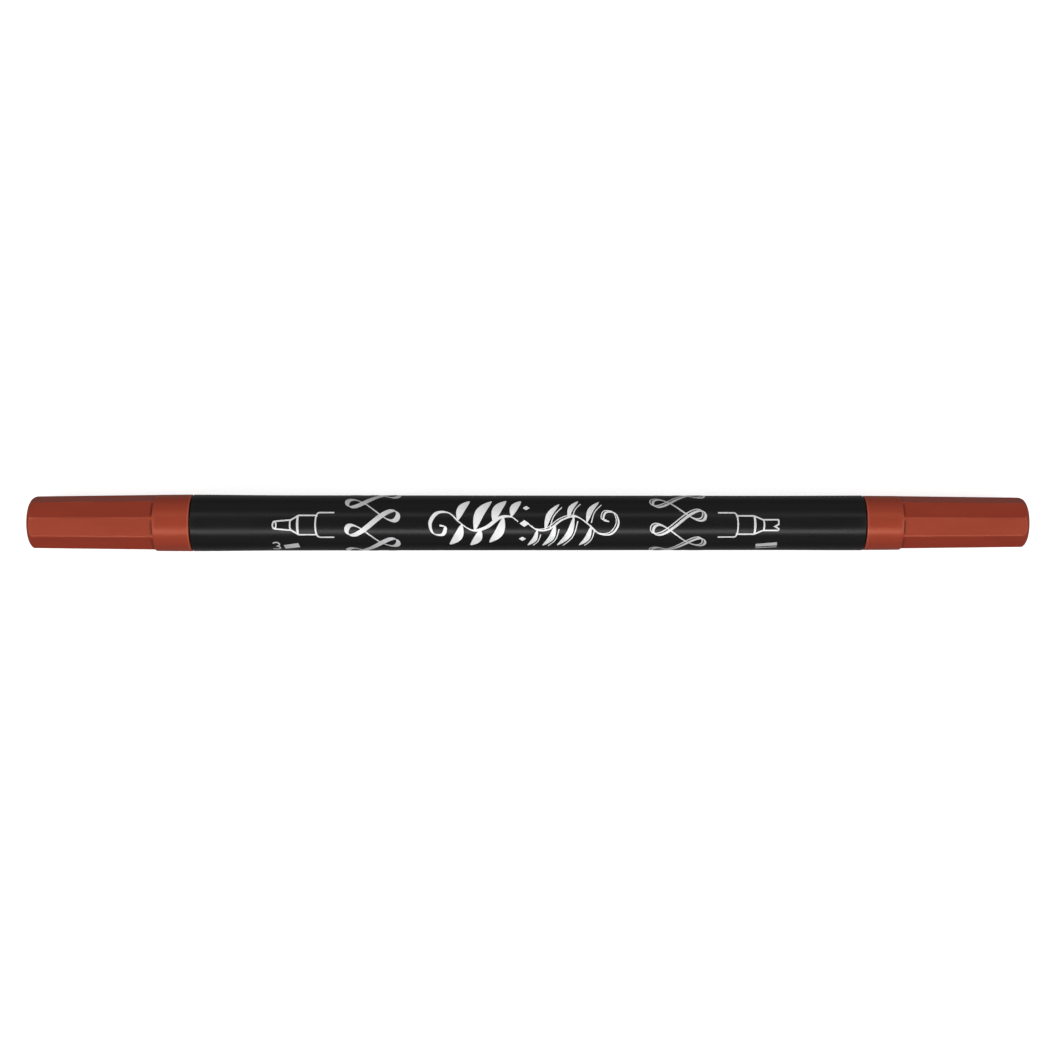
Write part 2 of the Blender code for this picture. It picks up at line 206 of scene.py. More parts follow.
class Wire:
    """A socket of a material's node tree. Arithmetic on it adds Math nodes."""

    def __init__(self, tree, socket=None):
        self.tree = tree
        self.socket = socket

    def node(self, kind, settings=None, inputs=None, output=0):
        """Adds a node: its settings are made first, then its sockets get values or links."""
        made = self.tree.nodes.new(kind)
        for name, value in (settings or {}).items():
            setattr(made, name, value)
        for name, value in (inputs or {}).items():
            if isinstance(value, Wire):
                self.tree.links.new(value.socket, made.inputs[name])
            else:
                made.inputs[name].default_value = value
        return Wire(self.tree, made.outputs[output])

    def math(self, operation, *others):
        values = dict(enumerate((self, *others)))
        return self.node("ShaderNodeMath", {"operation": operation}, values)

    def __add__(self, other):
        return self.math("ADD", other)

    def __sub__(self, other):
        return self.math("SUBTRACT", other)

    def __rsub__(self, other):
        return self.node("ShaderNodeMath", {"operation": "SUBTRACT"}, {0: other, 1: self})

    def __mul__(self, other):
        return self.math("MULTIPLY", other)

    def __gt__(self, other):
        return self.math("GREATER_THAN", other)

    __radd__, __rmul__ = __add__, __mul__

    def between(self, low, high):
        """0 below low and 1 above high, with an even, soft rise from one to the other."""
        limits = {"From Min": low, "From Max": high}
        kind = {"interpolation_type": "SMOOTHSTEP"}
        return self.node("ShaderNodeMapRange", kind, {"Value": self, **limits})

    def mix(self, first, second):
        """The first colour where this is 0 and the second where it is 1."""
        inputs = {0: self, 6: first, 7: second}
        return self.node("ShaderNodeMix", {"data_type": "RGBA"}, inputs, output=2)


class Finish:
    """A material with one Principled shader, its object coordinates and the grains that use them."""

    def __init__(self, name, **constants):
        self.material = bpy.data.materials.new(name)
        self.material.use_nodes = True
        self.tree = self.material.node_tree
        self.shader = self.tree.nodes["Principled BSDF"]
        for socket, value in constants.items():
            self.shader.inputs[socket.replace("_", " ")].default_value = value
        self.place = Wire(self.tree).node("ShaderNodeTexCoord", output=3)

    def grain(self, size, detail=2, stretch=1.0, roughness=0.5):
        """Noise with grains of a size in metres, drawn out along the pen by a factor."""
        scale = {"Vector": self.place, "Scale": (1 / stretch, 1, 1)}
        at = self.place.node("ShaderNodeMapping", None, scale)
        look = {"Vector": at, "Scale": 1 / size, "Detail": detail, "Roughness": roughness}
        return self.place.node("ShaderNodeTexNoise", None, look)

    def along(self):
        return self.place.node("ShaderNodeSeparateXYZ", None, {"Vector": self.place}, output=0)

    def across(self):
        return self.place.node("ShaderNodeSeparateXYZ", None, {"Vector": self.place}, output=1)

    def up(self):
        return self.place.node("ShaderNodeSeparateXYZ", None, {"Vector": self.place}, output=2)

    def set(self, **sockets):
        """Links what changes over the surface into the shader's own sockets."""
        for name, wire in sockets.items():
            self.tree.links.new(wire.socket, self.shader.inputs[name.replace("_", " ")])

    def relief(self, height, depth, strength=1.0):
        """Bumps the surface by a height from 0 to 1, as deep as depth in metres."""
        inputs = {"Height": height, "Distance": depth, "Strength": strength}
        self.set(Normal=self.place.node("ShaderNodeBump", None, inputs))


BLACK_DEEP, BLACK_PLAIN = (0.0019, 0.0017, 0.0019, 1), (0.0035, 0.0032, 0.0034, 1)
BLACK_SCUFF = (0.016, 0.015, 0.016, 1)


def black_polypropylene(name, roughness):
    """Black moulded plastic: drawn-out flow marks, a fine orange peel and a haze of handling."""
    finish = Finish(name, Specular_IOR_Level=0.3)
    flow = finish.grain(0.0006, detail=4, stretch=30)
    haze = finish.grain(0.006, detail=5, stretch=3).between(0.45, 0.75)
    peel = finish.grain(0.0005, detail=1)
    scuffs = finish.grain(0.00016, detail=3, stretch=14).between(0.68, 0.76)
    colour = (haze * 0.5 + flow * 0.5).mix(BLACK_DEEP, BLACK_PLAIN)
    colour = (scuffs * 0.35).mix(colour, BLACK_SCUFF)
    finish.set(Base_Color=colour, Roughness=roughness + haze * 0.07 + scuffs * 0.15 + (flow - 0.5) * 0.08)
    finish.relief(peel * 0.5 + flow * 0.5, 0.000005)
    return finish.material


barrel_steps = [SWELL_LENGTH * i / 10 for i in range(1, 11)]
seat_end = BARREL_END - SEAT_DEPTH
outside = [BARREL_END - step for step in barrel_steps]
outside += [0.03, 0.02, 0.01, 0]
outside += [-x for x in reversed(outside[:-1])]
barrel_outline = [
    (BARREL_END, SEAT_RADIUS + BARREL_EDGE),
    *fillet(BARREL_END - BARREL_EDGE, barrel_radius(BARREL_END) - BARREL_EDGE, BARREL_EDGE, 0, 90),
    *[(x, barrel_radius(x)) for x in outside],
    *fillet(-BARREL_END + BARREL_EDGE, barrel_radius(-BARREL_END) - BARREL_EDGE, BARREL_EDGE, 90, 180),
    (-BARREL_END, SEAT_RADIUS + BARREL_EDGE),
    (-BARREL_END + BARREL_EDGE, SEAT_RADIUS),
    (-seat_end, SEAT_RADIUS),
    (-seat_end, BORE_RADIUS),
    (seat_end, BORE_RADIUS),
    (seat_end, SEAT_RADIUS),
    (BARREL_END - BARREL_EDGE, SEAT_RADIUS),
    (BARREL_END, SEAT_RADIUS + BARREL_EDGE),
]
barrel = spun("barrel_tube", barrel_outline)
smooth(barrel)
fit(barrel, black_polypropylene("barrel_black", 0.25), "pen", "barrel_plastic", "barrel")

# ---------------------------------------------------------------------------------------------
# Foil print. The silver decoration is hot-stamped foil, a few hundredths of a millimetre proud of
# the barrel. It is laid out flat, as x along the pen and y round it from the top, in metres, and
# then wrapped. Each half is drawn as its end's nib draws: a broad nib's line on the chisel end's
# half, and the forked nib's double line on the twin end's half.
# ---------------------------------------------------------------------------------------------
FOIL_PROUD = 0.000012
FOIL_DEPTH = 0.00003
PATH_STEP = 0.00012
HAIRLINE = 0.00017


def sampled(route, start, end, length):
    """Points of a route, evenly spread in its own parameter, a path step apart or nearer."""
    count = max(2, round(length / PATH_STEP))
    return [route(start + (end - start) * i / count) for i in range(count + 1)]


def polyline(*corners):
    """Points along straight runs between corners, a path step apart or nearer."""
    points = [corners[0]]
    for (x, y), (next_x, next_y) in zip(corners, corners[1:]):
        count = max(1, round(math.hypot(next_x - x, next_y - y) / PATH_STEP))
        points += [
            (x + (next_x - x) * i / count, y + (next_y - y) * i / count)
            for i in range(1, count + 1)
        ]
    return points


def arc(x, y, wide, high, start, end):
    """Points of an ellipse's arc about (x, y), between two angles in degrees from +X."""
    def route(angle):
        return x + wide * math.cos(math.radians(angle)), y + high * math.sin(math.radians(angle))

    return sampled(route, start, end, max(wide, high) * math.radians(abs(end - start)))


def curve(*knots):
    """Points of one smooth line through knots."""
    before = tuple(2 * a - b for a, b in zip(knots[0], knots[1]))
    after = tuple(2 * a - b for a, b in zip(knots[-1], knots[-2]))
    points, spread = [knots[0]], [before, *knots, after]
    for p, q, r, s in zip(spread, spread[1:], spread[2:], spread[3:]):
        count = max(2, round(math.dist(q, r) / PATH_STEP))
        for i in range(1, count + 1):
            t = i / count
            points.append(
                tuple(
                    b + t * ((c - a) + t * ((2 * a - 5 * b + 4 * c - d) + t * (3 * b - a - 3 * c + d))) / 2
                    for a, b, c, d in zip(p, q, r, s)
                )
            )
    return points


def even(broad):
    """A pen that draws the same width whichever way it moves."""
    return lambda turn, share: broad


def edged(broad, nib_angle):
    """A broad-edged nib held at an angle in degrees: thin along its edge and broad across it."""
    def width(turn, share):
        return math.hypot(broad * math.sin(turn - math.radians(nib_angle)), HAIRLINE)

    return width


def pressed(broad):
    """A soft point: a hairline at each end of its stroke, pressed out to its broadest halfway."""
    return lambda turn, share: HAIRLINE / 2 + broad * math.sin(math.pi * share) ** 0.8


def foil(name, strokes, finish):
    """Draws strokes of (points, pen) as flat ribbons, wraps them and gives them their thickness."""
    edge = bpy.data.curves.new(name + "_edge", "CURVE")
    edge.splines.new("POLY").points.add(1)
    for point, x in zip(edge.splines[0].points, (-1, 1)):
        point.co = (x, 0, 0, 1)
    edge_holder = bpy.data.objects.new(name + "_edge", edge)
    scene.collection.objects.link(edge_holder)
    line = bpy.data.curves.new(name, "CURVE")
    line.dimensions = "2D"
    line.fill_mode = "NONE"
    line.bevel_mode = "OBJECT"
    line.bevel_object = edge_holder
    for points, pen in strokes:
        spline = line.splines.new("POLY")
        spline.points.add(len(points) - 1)
        last = len(points) - 1
        for i, (x, y) in enumerate(points):
            before, after = points[max(i - 1, 0)], points[min(i + 1, last)]
            spline.points[i].co = (x, y, 0, 1)
            turn = math.atan2(after[1] - before[1], after[0] - before[0])
            spline.points[i].radius = pen(turn, i / last) / 2
    piece = bpy.data.objects.new(name, line)
    scene.collection.objects.link(piece)
    bpy.ops.object.select_all(action="DESELECT")
    piece.select_set(True)
    bpy.context.view_layer.objects.active = piece
    bpy.ops.object.convert(target="MESH")
    bpy.data.objects.remove(edge_holder)
    for vertex in piece.data.vertices:
        x, y, _ = vertex.co
        radius = barrel_radius(x)
        angle = y / radius
        radius += FOIL_PROUD
        vertex.co = (x, radius * math.sin(angle), radius * math.cos(angle))
    bpy.ops.object.mode_set(mode="EDIT")
    bpy.ops.mesh.select_all(action="SELECT")
    bpy.ops.mesh.remove_doubles(threshold=WELD)
    bpy.ops.object.mode_set(mode="OBJECT")
    for face in piece.data.polygons:
        outward = face.normal.y * face.center.y + face.normal.z * face.center.z
        face.select = outward < 0
    bpy.ops.object.mode_set(mode="EDIT")
    bpy.ops.mesh.flip_normals()
    bpy.ops.object.mode_set(mode="OBJECT")
    thicken = piece.modifiers.new("thickness", "SOLIDIFY")
    thicken.thickness = FOIL_DEPTH
    thicken.offset = -1
    bpy.ops.object.modifier_apply(modifier=thicken.name)
    smooth(piece, 40)
    fit(piece, finish, "pen", "foil_print")


SCREEN_PITCH = 0.00036
SCREEN = math.tau / SCREEN_PITCH
PINHOLE = (0.09, 0.085, 0.085, 1)
SILVER, SILVER_DULL = (0.8, 0.8, 0.81, 1), (0.6, 0.6, 0.61, 1)
WHITE, WHITE_DULL = (0.97, 0.97, 0.97, 1), (0.74, 0.74, 0.75, 1)


def foil_finish(name, shine, bright, dull):
    """Foil with the dots of a printing screen, a satin grain, tiny pinholes and worn patches."""
    finish = Finish(name, Metallic=shine)
    grain = finish.grain(0.00025, detail=3, stretch=1.5)
    patches = finish.grain(0.003, detail=3).between(0.45, 0.8)
    pinholes = finish.grain(0.00012, detail=1).between(0.7, 0.76)
    around = finish.up().math("ARCTAN2", finish.across()) * BARREL_RADIUS["twin"]
    screen = (finish.along() * SCREEN).math("SINE") * (around * SCREEN).math("SINE")
    screen = (screen + (patches - 0.5) * 0.5).between(-0.2, 0.9)
    colour = (patches * 0.45 + grain * 0.2 + screen * 0.35).mix(bright, dull)
    colour = (pinholes * 0.8).mix(colour, PINHOLE)
    finish.set(Base_Color=colour, Roughness=patches * 0.12 + grain * 0.12 + 0.4)
    finish.relief(grain, 0.000006)
    return finish.material


silver_foil = foil_finish("silver_foil", 0.5, SILVER, SILVER_DULL)

# The two drawings of a nib: its blade, the holder's cone and neck, and the start of the barrel.
DRAWN_LINE = 0.00024
DRAWN_CENTRE = -0.00036
BULGE = 0.00022
SHOULDER_CORNER = 0.0005


def swelled(turn, share):
    """The drawing's own line, half as broad again halfway along."""
    return DRAWN_LINE * (1 + 0.5 * math.sin(math.pi * share))


def nib_drawing(name, tip, side, blade, cone, neck, barrel_run, extra):
    """Each of blade, cone, neck and barrel_run is a length with the half heights at its ends."""
    pen, centre = even(DRAWN_LINE), DRAWN_CENTRE
    strokes, x = [], tip
    for length, near, far in (blade, cone, neck):
        for sign in (1, -1):
            start, end = (x, centre + sign * near), (x - side * length, centre + sign * far)
            strokes.append((polyline(start, end), pen))
        x -= side * length
        # The seam across, bowed towards the tip like the near edge of a round pen.
        seam = arc(x, centre, side * BULGE, far, -90, 90)
        strokes.append((seam, swelled if length == cone[0] else pen))
    length, near, far = barrel_run
    corner = SHOULDER_CORNER
    for sign in (1, -1):
        turn = arc(x - side * corner, centre + sign * (far - corner), side * corner, sign * corner, 0, 90)
        start = [(x, centre + sign * (near - 0.0002))]
        strokes.append((polyline(*start, turn[0])[:-1] + turn, pen))
        strokes.append((polyline(turn[-1], (x - side * length, centre + sign * far)), pen))
    strokes += [(points, pen) for points in extra]
    foil(name, strokes, silver_foil)


chisel_tip, twin_tip = -0.0407, 0.0402
TIP_OVAL = (0.00028, 0.00056)
nib_drawing(
    "foil_chisel_drawing",
    chisel_tip,
    -1,
    (0.00270, 0.00060, 0.00083),
    (0.00120, 0.00083, 0.00157),
    (0.00290, 0.00157, 0.00157),
    (0.0028, 0.00157, 0.00204),
    [arc(chisel_tip, DRAWN_CENTRE, *TIP_OVAL, 0, 360)],
)
notch_root = (twin_tip - 0.00062, DRAWN_CENTRE - 0.00022)
notch_corners = (
    (twin_tip, DRAWN_CENTRE + 0.00086),
    (twin_tip, DRAWN_CENTRE + 0.00012),
    notch_root,
    (twin_tip, DRAWN_CENTRE - 0.00056),
    (twin_tip, DRAWN_CENTRE - 0.00086),
)
nib_drawing(
    "foil_twin_drawing",
    twin_tip,
    1,
    (0.00252, 0.00086, 0.00086),
    (0.00146, 0.00086, 0.00149),
    (0.00275, 0.00149, 0.00149),
    (0.0030, 0.00149, 0.00200),
    [polyline(*notch_corners)],
)

# Under each drawing is a mark of what it draws: a 3 and one broad bar, or a broad and a fine bar.
MARK_CENTRE = -0.0044
NUMERAL_AT = -0.0406
MARK_LINE = 0.00024
NUMERAL_HEIGHT = 0.0019
bowl = NUMERAL_HEIGHT / 4
upper_bowl = arc(NUMERAL_AT, MARK_CENTRE + bowl, bowl * 1.15, bowl, 150, -90)
lower_bowl = arc(NUMERAL_AT, MARK_CENTRE - bowl, bowl * 1.25, bowl, 90, -150)
sample_bar = polyline((-0.0393, MARK_CENTRE - 0.00025), (-0.0369, MARK_CENTRE + 0.00025))
numeral = [(upper_bowl, even(MARK_LINE)), (lower_bowl, even(MARK_LINE))]
foil("foil_chisel_mark", [*numeral, (sample_bar, even(0.0011))], silver_foil)
double_bars = [
    (polyline((0.0367, MARK_CENTRE + 0.0002), (0.0401, MARK_CENTRE + 0.0006)), even(0.00075)),
    (polyline((0.0367, MARK_CENTRE - 0.0006), (0.0401, MARK_CENTRE - 0.0002)), even(0.00018)),
]
foil("foil_twin_mark", double_bars, silver_foil)

# A band of looped ribbon runs right round the barrel near each end of the print.
BAND_REPEATS = 6
BAND_NIB_ANGLE = 148
BAND_LOOP = 0.00135


def band(centre, half_width, shift=(0, 0)):
    """One looped line that closes on itself round the barrel."""
    once_round = math.tau * barrel_radius(centre)

    def route(turn):
        x = centre + shift[0] + half_width * math.sin(turn)
        rise = once_round * turn / (math.tau * BAND_REPEATS)
        return x, rise + shift[1] + BAND_LOOP * math.sin(2 * turn)

    return sampled(route, 0, math.tau * BAND_REPEATS, BAND_REPEATS * 0.021)


foil("foil_chisel_band", [(band(-0.0250, 0.0041), edged(0.00084, BAND_NIB_ANGLE))], silver_foil)
TWIN_BROAD, TWIN_FINE, TWIN_APART = 0.00042, 0.0001, 0.00055
along_nib = (math.cos(math.radians(BAND_NIB_ANGLE)), math.sin(math.radians(BAND_NIB_ANGLE)))
fine_shift = tuple(TWIN_APART * part for part in along_nib)
broad_band = (band(0.0243, 0.0042), edged(TWIN_BROAD, BAND_NIB_ANGLE))
fine_band = (band(0.0243, 0.0042, fine_shift), edged(TWIN_FINE, BAND_NIB_ANGLE))
foil("foil_twin_band", [broad_band, fine_band], silver_foil)

# Between the bands grow two leafy sprigs, one drawn with the broad nib, and the same one turned half
# round and drawn with the forked nib. Their leaves all slant as a right-handed writer's strokes do.
SPRIG_CENTRE = (-0.0006, -0.0001)
LEAF_SLANT = 62
LEAF_BEND = 0.1
STEM_KNOTS = (
    (-0.0010, 0.0003), (-0.0022, 0.0011), (-0.0040, 0.0009), (-0.0061, -0.0006), (-0.0083, -0.0011),
    (-0.0104, 0.0002), (-0.0121, 0.0017), (-0.0140, 0.0017), (-0.0151, 0.0001), (-0.0146, -0.0016),
    (-0.0131, -0.0018), (-0.0127, -0.0006), (-0.0136, -0.0003),
)
# Each leaf is the place of its stalk, its length, which is negative where it hangs, and its width.
LEAVES = (
    (-0.0021, 0.0011, 0.0033, 0.00115),
    (-0.0033, 0.0010, -0.0049, 0.0013),
    (-0.0050, 0.0002, 0.0044, 0.00135),
    (-0.0070, -0.0009, -0.0035, 0.0012),
    (-0.0080, -0.0011, 0.0058, 0.0014),
    (-0.0100, -0.0001, -0.0042, 0.0013),
    (-0.0107, 0.0005, 0.0040, 0.0012),
)


def leaf(x, y, length, bend):
    """The line of a leaf, bowed to its left as it grows."""
    slant = math.radians(LEAF_SLANT)
    ahead, up = length * math.cos(slant), length * math.sin(slant)
    middle = (x + ahead / 2 - bend * up, y + up / 2 + bend * ahead)
    return curve((x, y), middle, (x + ahead, y + up))


def place_sprig(points, sign):
    """Sets a line about the ornament's middle, turned half round where the sign is -1."""
    return [(SPRIG_CENTRE[0] + sign * x, SPRIG_CENTRE[1] + sign * y) for x, y in points]


def beside(points, gap):
    """The same line moved sideways, across its own slant."""
    slant = math.radians(LEAF_SLANT)
    return [(x + gap * math.sin(slant), y - gap * math.cos(slant)) for x, y in points]


solid, double = [(place_sprig(curve(*STEM_KNOTS), 1), edged(0.00058, BAND_NIB_ANGLE))], []
stem = place_sprig(curve(*STEM_KNOTS), -1)
double.append((stem, edged(0.00026, BAND_NIB_ANGLE)))
double.append(([(x + fine_shift[0] * 0.8, y + fine_shift[1] * 0.8) for x, y in stem], even(0.00014)))
for x, y, length, width in LEAVES:
    solid.append((place_sprig(leaf(x, y, length, LEAF_BEND), 1), pressed(width)))
    turned_leaf = place_sprig(leaf(x, y, length, LEAF_BEND), -1)
    double.append((turned_leaf, pressed(width * 0.62)))
    double.append((beside(turned_leaf[3:-3], width * 0.31 + 0.00034), even(0.00016)))
white_foil = foil_finish("white_foil", 0.25, WHITE, WHITE_DULL)
foil("foil_solid_sprig", solid, white_foil)
foil("foil_double_sprig", double, white_foil)


BEAD_POINT = 1e-5
# Each bead is its place about the ornament's middle and its size.
BEADS = (
    (0, 0, 0.0011),
    (-0.0003, -0.0026, 0.0008),
    (0.0003, 0.0026, 0.0008),
)


def bead(x, y, size):
    """A pen's lozenge-shaped dot."""
    reach = size / math.sqrt(2)
    points = polyline((x - reach, y), (x + reach, y))
    return points, lambda turn, share: size * (1 - abs(2 * share - 1)) + BEAD_POINT


beads = [bead(SPRIG_CENTRE[0] + x, SPRIG_CENTRE[1] + y, size) for x, y, size in BEADS]
foil("foil_beads", beads, white_foil)

# ---------------------------------------------------------------------------------------------
# Nib holders. One black polypropylene moulding for each end: a plug pressed into the barrel, a
# neck with a snap bead that the cap clicks over, and a cone. A channel runs through it for the
# nib, with an air groove on each broad side of the nib.
# ---------------------------------------------------------------------------------------------
PLUG_RADIUS, PLUG_DEPTH, PLUG_LEAD_IN = 0.00365, 0.0120, 0.0006
NECK_RADIUS, NECK_START, NECK_END = 0.00345, 0.0003, 0.0072
BEAD_RADIUS, BEAD_START, BEAD_END = 0.00356, 0.00155, 0.00225
CONE_START_RADIUS, CONE_START = 0.00335, 0.0074
CONE_END_RADIUS, CONE_END = 0.00245, 0.0112
HOLDER_FRONT_RADIUS, HOLDER_FRONT = 0.00232, 0.0114
REAR_CAVITY_RADIUS, REAR_CAVITY_DEPTH = 0.0027, 0.0090
NIB_WIDTH = 0.0036
NIB_THICKNESS = {"chisel": 0.0020, "twin": 0.0016}
CHANNEL_GAP = 0.0001
VENT_WIDTH, VENT_DEPTH = 0.0008, 0.00045
CHANNEL_START, CHANNEL_OVERRUN = -0.004, 0.001
FRONT_EDGE = 0.0002


def block(name, low_corner, high_corner):
    """A box between two corners, with its place in its mesh."""
    middle = [(a + b) / 2 for a, b in zip(low_corner, high_corner)]
    bpy.ops.object.select_all(action="DESELECT")
    bpy.ops.mesh.primitive_cube_add(size=1, location=middle)
    made = bpy.context.active_object
    made.name = made.data.name = name
    made.scale = [abs(b - a) for a, b in zip(low_corner, high_corner)]
    bpy.ops.object.transform_apply(location=True, rotation=True, scale=True)
    return made


def cut(piece, cutter):
    """Takes one solid out of another, and then removes it."""
    tool = piece.modifiers.new("cut", "BOOLEAN")
    tool.operation = "DIFFERENCE"
    tool.object = cutter
    bpy.context.view_layer.objects.active = piece
    bpy.ops.object.modifier_apply(modifier=tool.name)
    bpy.data.objects.remove(cutter)


def make_holder(end_name, finish):
    side = ENDS[end_name]
    rear = -PLUG_DEPTH
    outline = [
        (rear + REAR_CAVITY_DEPTH, 0),
        (rear + REAR_CAVITY_DEPTH, REAR_CAVITY_RADIUS),
        (rear, REAR_CAVITY_RADIUS),
        (rear, NECK_RADIUS),
        (rear + PLUG_LEAD_IN, PLUG_RADIUS),
        (NECK_START - PLUG_RADIUS + NECK_RADIUS, PLUG_RADIUS),
        (NECK_START, NECK_RADIUS),
        (BEAD_START, NECK_RADIUS),
    ]
    # The snap bead is a low round swelling.
    bead_length, bead_rise = BEAD_END - BEAD_START, BEAD_RADIUS - NECK_RADIUS
    for i in range(1, 8):
        share = i / 8
        swell = math.sin(math.pi * share) ** 2
        outline.append((BEAD_START + bead_length * share, NECK_RADIUS + bead_rise * swell))
    outline += [
        (BEAD_END, NECK_RADIUS),
        (NECK_END, NECK_RADIUS),
        (CONE_START, CONE_START_RADIUS),
        (CONE_END - 0.0001, CONE_END_RADIUS + 0.00003),
        *fillet(CONE_END, HOLDER_FRONT_RADIUS - 0.00012, FRONT_EDGE, 60, 0),
        (HOLDER_FRONT - 0.00001, 0),
    ]
    place = [(side * (BARREL_END + out), radius) for out, radius in outline]
    holder = spun(end_name + "_holder", place)
    half_width = NIB_WIDTH / 2 + CHANNEL_GAP
    half_thickness = NIB_THICKNESS[end_name] / 2 + CHANNEL_GAP
    near, far = BARREL_END + CHANNEL_START, BARREL_END + HOLDER_FRONT + CHANNEL_OVERRUN
    for name, y, z in (
        ("channel", half_width, half_thickness),
        ("vent", VENT_WIDTH / 2, half_thickness + VENT_DEPTH),
    ):
        cut(holder, block(name, (side * near, -y, -z), (side * far, y, z)))
    smooth(holder)
    node = end_name + "_nib_holder"
    fit(holder, finish, "pen", "holder_plastic", node)


holder_black = black_polypropylene("holder_black", 0.3)
for end_name in ENDS:
    make_holder(end_name, holder_black)

# ---------------------------------------------------------------------------------------------
# Nibs. Flat bars of bonded polyester fibre, sized so that ink creeps along them from the rod in
# the barrel. Both are ground to a blunt point at the back. The chisel nib is ground on its faces
# to a slanted edge; the twin nib is notched into a broad and a fine prong.
# ---------------------------------------------------------------------------------------------
NIB_TAIL, NIB_POINT, NIB_TIP = -0.0190, 0.0020, 0.0175
NIB_EDGE = 0.00025
CHISEL_WIDTH, CHISEL_THICKNESS = 0.0030, 0.0008
CHISEL_GRIND_START = 0.0118
CHISEL_SLANT = math.radians(14)
NOTCH_DEPTH, NOTCH_WIDTH, NOTCH_OFFSET = 0.0017, 0.0012, -0.00065
CUTTER_SLIT, CUTTER_OVERRUN, CUTTER_HEIGHT = 1e-5, 0.001, 0.002


def select_beyond(piece, side, x):
    """Selects the vertices further out than x, on one side. Edit mode is left and entered."""
    bpy.ops.object.mode_set(mode="OBJECT")
    mesh = piece.data
    mesh.polygons.foreach_set("select", [False] * len(mesh.polygons))
    mesh.edges.foreach_set("select", [False] * len(mesh.edges))
    for vertex in mesh.vertices:
        vertex.select = side * vertex.co.x > side * x
    bpy.ops.object.mode_set(mode="EDIT")
    bpy.ops.mesh.select_mode(type="VERT")


def nib_bar(end_name, side):
    """A bar with bevelled edges, cut across where its shape changes, and pointed at the back."""
    width, thickness = NIB_WIDTH, NIB_THICKNESS[end_name]
    tail, tip = side * (BARREL_END + NIB_TAIL), side * (BARREL_END + NIB_TIP)
    bar = block(end_name + "_nib_bar", (tail, -width / 2, -thickness / 2), (tip, width / 2, thickness / 2))
    bevel = bar.modifiers.new("ground edges", "BEVEL")
    bevel.width, bevel.segments = NIB_EDGE, 3
    bpy.ops.object.modifier_apply(modifier=bevel.name)
    shoulder = tail + side * NIB_POINT
    bpy.ops.object.mode_set(mode="EDIT")
    bpy.ops.mesh.select_all(action="SELECT")
    bpy.ops.mesh.bisect(plane_co=(shoulder, 0, 0), plane_no=(1, 0, 0))
    select_beyond(bar, -side, shoulder - side * 0.00001)
    bpy.ops.transform.resize(value=(1, 0.5, 0.5), center_override=(tail, 0, 0))
    return bar


def fibre(name, dry, wet, tip_side, tip):
    """Bonded fibre: fine strands along the bar, stained by ink, darkest where it writes."""
    finish = Finish(name, Specular_IOR_Level=0.2)
    strands = finish.grain(0.00009, detail=3, stretch=22)
    blotches = finish.grain(0.0011, detail=3)
    into_tip = (finish.along() * tip_side).between(tip * tip_side - 0.0045, tip * tip_side - 0.0004)
    stain = (blotches * 0.5 + strands * 0.35 + into_tip * 0.3).between(0.25, 0.9)
    finish.set(Base_Color=stain.mix(dry, wet), Roughness=0.86 - stain * 0.22)
    finish.relief(strands * 0.8 + blotches * 0.2, 0.00003)
    return finish.material


INKED_DRY, INKED_WET = (0.33, 0.085, 0.042, 1), (0.105, 0.021, 0.011, 1)
side = ENDS["chisel"]
chisel_tip_x = side * (BARREL_END + NIB_TIP)
chisel = nib_bar("chisel", side)
grind_start = side * (BARREL_END + CHISEL_GRIND_START)
bpy.ops.mesh.select_all(action="SELECT")
bpy.ops.mesh.bisect(plane_co=(grind_start, 0, 0), plane_no=(1, 0, 0))
select_beyond(chisel, side, grind_start + side * 0.00001)
narrowing = (1, CHISEL_WIDTH / NIB_WIDTH, CHISEL_THICKNESS / NIB_THICKNESS["chisel"])
bpy.ops.transform.resize(value=narrowing, center_override=(grind_start, 0, 0))
bpy.ops.mesh.select_all(action="SELECT")
slant_run = math.tan(CHISEL_SLANT) * CHISEL_WIDTH / 2
bpy.ops.mesh.bisect(
    plane_co=(chisel_tip_x - side * (slant_run + 0.00003), 0, 0),
    plane_no=(side * math.cos(CHISEL_SLANT), -math.sin(CHISEL_SLANT), 0),
    use_fill=True,
    clear_outer=True,
)
bpy.ops.object.mode_set(mode="OBJECT")
smooth(chisel, 35)
fit(chisel, fibre("chisel_fibre", INKED_DRY, INKED_WET, side, chisel_tip_x), "pen", "nib_fibre", "chisel_nib")

side = ENDS["twin"]
twin_tip_x = side * (BARREL_END + NIB_TIP)
twin = nib_bar("twin", side)
bpy.ops.object.mode_set(mode="OBJECT")
spread = NOTCH_WIDTH / 2 / NOTCH_DEPTH
reach = NOTCH_DEPTH + CUTTER_OVERRUN
notch_root_corner = (twin_tip_x - NOTCH_DEPTH, -CUTTER_SLIT, -CUTTER_HEIGHT)
notch = block("notch", notch_root_corner, (twin_tip_x + CUTTER_OVERRUN, CUTTER_SLIT, CUTTER_HEIGHT))
select_beyond(notch, side, twin_tip_x)
bpy.ops.transform.resize(value=(1, spread * reach / CUTTER_SLIT, 1), center_override=(0, 0, 0))
bpy.ops.mesh.select_all(action="SELECT")
bpy.ops.transform.translate(value=(0, NOTCH_OFFSET, 0))
bpy.ops.object.mode_set(mode="OBJECT")
cut(twin, notch)
smooth(twin, 35)
fit(twin, fibre("twin_fibre", INKED_DRY, INKED_WET, side, twin_tip_x), "pen", "nib_fibre", "twin_nib")

